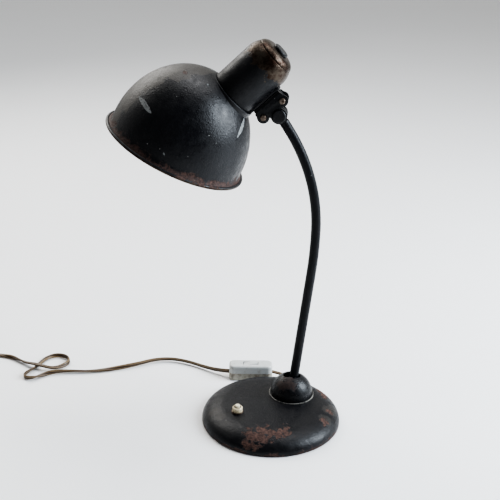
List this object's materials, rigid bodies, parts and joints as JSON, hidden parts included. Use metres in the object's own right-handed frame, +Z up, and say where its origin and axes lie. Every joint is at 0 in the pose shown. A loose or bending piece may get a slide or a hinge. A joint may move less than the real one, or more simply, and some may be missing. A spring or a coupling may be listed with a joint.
{
  "type": "desk lamp",
  "caption": "Desk lamp with a round domed base, curved tube arm on a ball dome, ball knuckle, tilting asymmetric steel shade, push switch and a corded inline switch.",
  "frame": {"origin": "centre of the base's flat underside, on the surface the lamp stands on", "axes": "+Z up; the arm and shade lie in a plane along X, with the shade towards -X; +Y is behind the lamp, where the cord leaves"},
  "size_m": [0.5078, 0.201, 0.4231],
  "materials": {
    "black_enamel": "worn satin stove enamel",
    "worn_steel": "bare worn steel with brown tarnish",
    "steel": "plain steel",
    "cast_iron": "rough casting",
    "brass": "dull",
    "felt": "dense felt",
    "cream_plastic": "aged cream",
    "switch_plastic": "off-white",
    "brown_plastic": "bakelite",
    "rubber": "matt",
    "porcelain": "glazed",
    "frosted_glass": "frosted",
    "cord_pvc": "aged translucent flat twin lead"
  },
  "bodies": {
    "base": {"base_cover": "black_enamel", "base_felt": "felt", "base_plate": "steel", "base_screws": "steel", "base_weight": "cast_iron", "cord_coil": "cord_pvc", "cord_gland": "rubber", "cord_lead": "cord_pvc", "cord_run": "cord_pvc", "cord_tail": "cord_pvc", "cord_tie": "rubber", "dome_seat": "black_enamel", "inline_switch_lower": "switch_plastic", "inline_switch_screws": "steel", "inline_switch_upper": "switch_plastic", "plug_body": "switch_plastic", "plug_pins": "brass", "plug_screw": "steel", "switch_body": "brown_plastic", "switch_collar": "cream_plastic", "switch_foot_ring": "brass", "switch_nut": "steel", "swivel_bush": "brass"},
    "push_button": {"push_button": "cream_plastic"},
    "rocker": {"inline_rocker": "switch_plastic"},
    "dome": {"joint_dome": "black_enamel", "pivot_yoke": "black_enamel", "pivot_pin": "steel", "swivel_spring_washer": "steel", "swivel_nut": "steel"},
    "arm": {"arm_tube": "black_enamel", "arm_hub": "black_enamel"},
    "knuckle": {"knuckle_ball": "black_enamel"},
    "head": {"cheek_front": "black_enamel", "cheek_rear": "black_enamel", "head_bracket": "black_enamel", "bracket_rivets": "worn_steel", "clamp_screws": "worn_steel", "clamp_nuts": "worn_steel", "socket_housing": "black_enamel", "housing_cap": "worn_steel", "cap_knob": "worn_steel", "holder_rod": "steel", "lamp_holder": "porcelain", "holder_thread_sleeve": "brass", "holder_contact": "brass", "holder_support_ring": "steel", "bulb_glass": "frosted_glass", "bulb_cap": "brass", "shade": "black_enamel", "neck_ring": "black_enamel", "shade_ring": "steel"}
  },
  "joints": [
    {"name": "button_press", "type": "slide", "parent": "base", "child": "push_button", "axis": [0, 0, -1], "range_m": [0, 0.0025], "stiffness_N_per_m": 300},
    {"name": "rocker_tilt", "type": "hinge", "parent": "base", "child": "rocker", "pos_m": [-0.0305, 0.0895, 0.0173], "axis": [-0.0958, 0.9954, 0], "range_deg": [0, 11]},
    {"name": "base_swivel", "type": "hinge", "parent": "base", "child": "dome", "pos_m": [0.0215, 0.0247, 0.0212], "axis": [0, 0, 1], "range_deg": [-120, 120]},
    {"name": "arm_tilt", "type": "hinge", "parent": "dome", "child": "arm", "pos_m": [0.02231, 0.0247, 0.02866], "axis": [0, 1, 0], "range_deg": [-15, 7]},
    {"name": "head_turn", "type": "hinge", "parent": "arm", "child": "knuckle", "pos_m": [-0.00218, 0.0247, 0.3471], "axis": [-0.5446, 0, 0.8387], "range_deg": [-90, 90]},
    {"name": "head_tilt", "type": "hinge", "parent": "knuckle", "child": "head", "pos_m": [-0.00218, 0.0247, 0.3471], "axis": [0, 1, 0], "range_deg": [-40, 50]}
  ]
}
